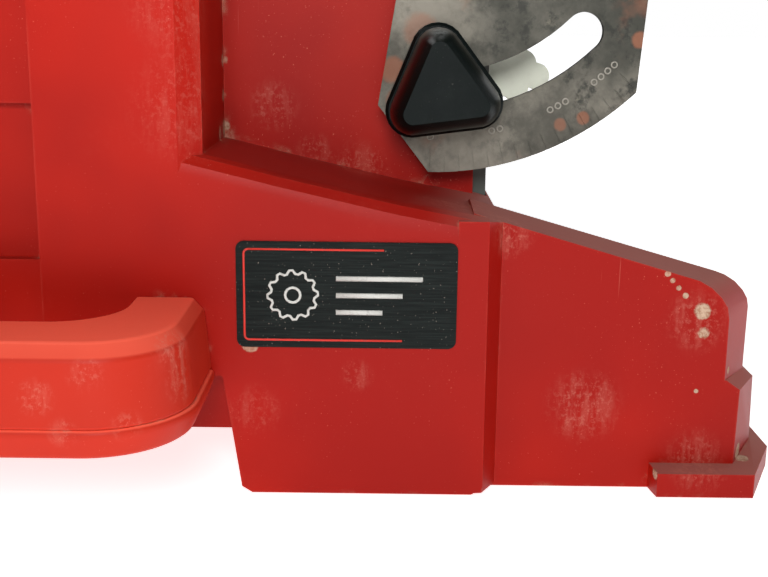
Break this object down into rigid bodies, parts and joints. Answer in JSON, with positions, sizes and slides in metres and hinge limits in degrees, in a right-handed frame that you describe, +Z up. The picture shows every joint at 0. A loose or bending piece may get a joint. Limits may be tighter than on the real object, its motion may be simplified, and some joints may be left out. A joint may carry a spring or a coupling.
{
  "type": "rail masonry saw",
  "caption": "Bench-top wet rail saw for tile and stone: tilting gantry with a sliding saw head over a steel table and water tub between moulded ends.",
  "frame": {"origin": "on the floor under the middle of the machine", "axes": "+X along the cut towards the end with the name plate, +Y across the table towards the motor, +Z up"},
  "size_m": [1.114, 0.514, 0.438],
  "materials": {
    "red_plastic": "moulded, satin",
    "grip_plastic": "moulded, satin",
    "black_plastic": "moulded, satin",
    "knob_plastic": "smooth satin",
    "tub_plastic": "moulded, fine grain",
    "foot_rubber": "matt",
    "table_steel": "galvanised, spangled",
    "plate_steel": "tarnished",
    "black_steel": "black coated",
    "hardware": "zinc plated",
    "zinc_cast": "as cast",
    "bronze": "plain bearing bronze",
    "rail_aluminium": "anodised, drawn",
    "cast_aluminium": "die cast",
    "red_paint": "powder coat",
    "red_casting": "powder coated casting",
    "blade_steel": "ground",
    "core_steel": "laminated",
    "glide_plastic": "slippery",
    "green_button": "smooth",
    "red_button": "smooth",
    "label_film": "brushed print",
    "scale_print": "printed"
  },
  "bodies": {
    "base": {"end_housing_right": "red_plastic", "end_housing_left": "red_plastic", "carry_handle_right": "grip_plastic", "carry_handle_left": "grip_plastic", "carry_handle_covers": "red_plastic", "rubber_feet": "foot_rubber", "base_rails": "black_steel", "water_tub": "tub_plastic", "drain_plug": "foot_rubber", "pump_housing": "black_plastic", "table_main": "table_steel", "table_strip": "table_steel", "table_bearers": "table_steel", "pivot_plates": "black_steel", "pivot_bushes": "bronze", "clamp_studs": "hardware", "tilt_stops": "zinc_cast", "fence_bar": "rail_aluminium", "fence_scale": "scale_print", "name_plate": "label_film"},
    "pump_rotor": {"pump_impeller": "glide_plastic"},
    "gantry": {"gantry_plate_right": "plate_steel", "gantry_plate_left": "plate_steel", "guide_rail": "rail_aluminium", "gantry_bolts": "hardware", "pivot_bolts": "hardware"},
    "tilt_knob_right": {"tilt_knob_right": "knob_plastic"},
    "tilt_knob_left": {"tilt_knob_left": "knob_plastic"},
    "carriage": {"carriage_frame": "red_casting", "roller_pins": "hardware", "glide_pads": "glide_plastic", "head_pivot_pin": "hardware"},
    "roller_front": {"roller_front": "hardware"},
    "roller_rear": {"roller_rear": "hardware"},
    "carriage_lock": {"carriage_lock_knob": "knob_plastic"},
    "depth_stop": {"depth_stop_screw": "knob_plastic"},
    "head": {"head_arm": "cast_aluminium", "motor_housing": "red_plastic", "motor_end_cap": "black_plastic", "stator": "core_steel", "motor_bearings": "hardware", "blade_guard": "red_paint", "guard_cover": "black_steel", "head_screws": "hardware", "water_nozzle": "black_plastic", "handle_inner_half": "black_plastic", "handle_outer_half": "black_plastic", "switch_box": "black_plastic", "cord_gland": "black_plastic"},
    "spindle": {"spindle_shaft": "hardware", "rotor": "core_steel", "cooling_fan": "black_plastic", "saw_blade": "blade_steel", "blade_flanges": "hardware"},
    "on_button": {"on_button": "green_button"},
    "off_button": {"off_button": "red_button"},
    "stop_block": {"stop_block": "black_plastic"},
    "stop_arm": {"stop_arm": "rail_aluminium"},
    "block_knob": {"block_knob": "knob_plastic"},
    "arm_knob": {"arm_knob": "knob_plastic"}
  },
  "joints": [
    {"name": "gantry_tilt", "type": "hinge", "parent": "base", "child": "gantry", "pos_m": [0, 0.1435, 0.1905], "axis": [-1, 0, 0], "range_deg": [0, 45]},
    {"name": "tilt_knob_right_turn", "type": "hinge", "parent": "base", "child": "tilt_knob_right", "pos_m": [0.4588, 0.14581, 0.12424], "axis": [1, 0, 0], "range_deg": [-180, 180]},
    {"name": "tilt_knob_left_turn", "type": "hinge", "parent": "base", "child": "tilt_knob_left", "pos_m": [-0.4588, 0.14581, 0.12424], "axis": [-1, 0, 0], "range_deg": [-180, 180]},
    {"name": "carriage_slide", "type": "slide", "parent": "gantry", "child": "carriage", "axis": [1, 0, 0], "range_m": [-0.1, 0.52]},
    {"name": "roller_front_spin", "type": "hinge", "parent": "carriage", "child": "roller_front", "pos_m": [-0.14, 0.087, 0.4048], "axis": [0, 1, 0], "range_deg": [-640, 3200]},
    {"name": "roller_rear_spin", "type": "hinge", "parent": "carriage", "child": "roller_rear", "pos_m": [-0.31, 0.087, 0.4048], "axis": [0, 1, 0], "range_deg": [-640, 3200]},
    {"name": "carriage_lock_turn", "type": "hinge", "parent": "carriage", "child": "carriage_lock", "pos_m": [-0.225, 0.087, 0.42], "axis": [0, 0, 1], "range_deg": [-180, 180]},
    {"name": "depth_stop_turn", "type": "hinge", "parent": "carriage", "child": "depth_stop", "pos_m": [-0.336, 0.16, 0.36], "axis": [0, 0, 1], "range_deg": [-180, 180]},
    {"name": "head_plunge", "type": "hinge", "parent": "carriage", "child": "head", "pos_m": [-0.315, 0.16, 0.33], "axis": [0, -1, 0], "range_deg": [0, 25]},
    {"name": "spindle_spin", "type": "hinge", "parent": "head", "child": "spindle", "pos_m": [-0.19, 0.1435, 0.2805], "axis": [0, 1, 0], "continuous": true},
    {"name": "on_press", "type": "slide", "parent": "head", "child": "on_button", "axis": [0, 0, -1], "range_m": [0, 0.003], "stiffness_N_per_m": 400, "springref_m": -0.001},
    {"name": "off_press", "type": "slide", "parent": "head", "child": "off_button", "axis": [0, 0, -1], "range_m": [0, 0.003], "stiffness_N_per_m": 400, "springref_m": -0.001},
    {"name": "stop_slide", "type": "slide", "parent": "base", "child": "stop_block", "axis": [0, 1, 0], "range_m": [-0.07, 0.08]},
    {"name": "stop_arm_swing", "type": "hinge", "parent": "stop_block", "child": "stop_arm", "pos_m": [-0.362, -0.12, 0.205], "axis": [0, 0, 1], "range_deg": [-45, 45]},
    {"name": "block_knob_turn", "type": "hinge", "parent": "stop_block", "child": "block_knob", "pos_m": [-0.391, -0.12, 0.225], "axis": [0, 0, 1], "range_deg": [-180, 180]},
    {"name": "arm_knob_turn", "type": "hinge", "parent": "stop_block", "child": "arm_knob", "pos_m": [-0.362, -0.12, 0.215], "axis": [0, 0, 1], "range_deg": [-180, 180]},
    {"name": "pump_spin", "type": "hinge", "parent": "base", "child": "pump_rotor", "pos_m": [0.3, -0.12, 0.04], "axis": [0, 0, 1], "continuous": true}
  ],
  "couplings": [
    {"joint": "roller_front_spin", "follows": "carriage_slide", "rad_per_m": 105.26},
    {"joint": "roller_rear_spin", "follows": "carriage_slide", "rad_per_m": 105.26}
  ]
}
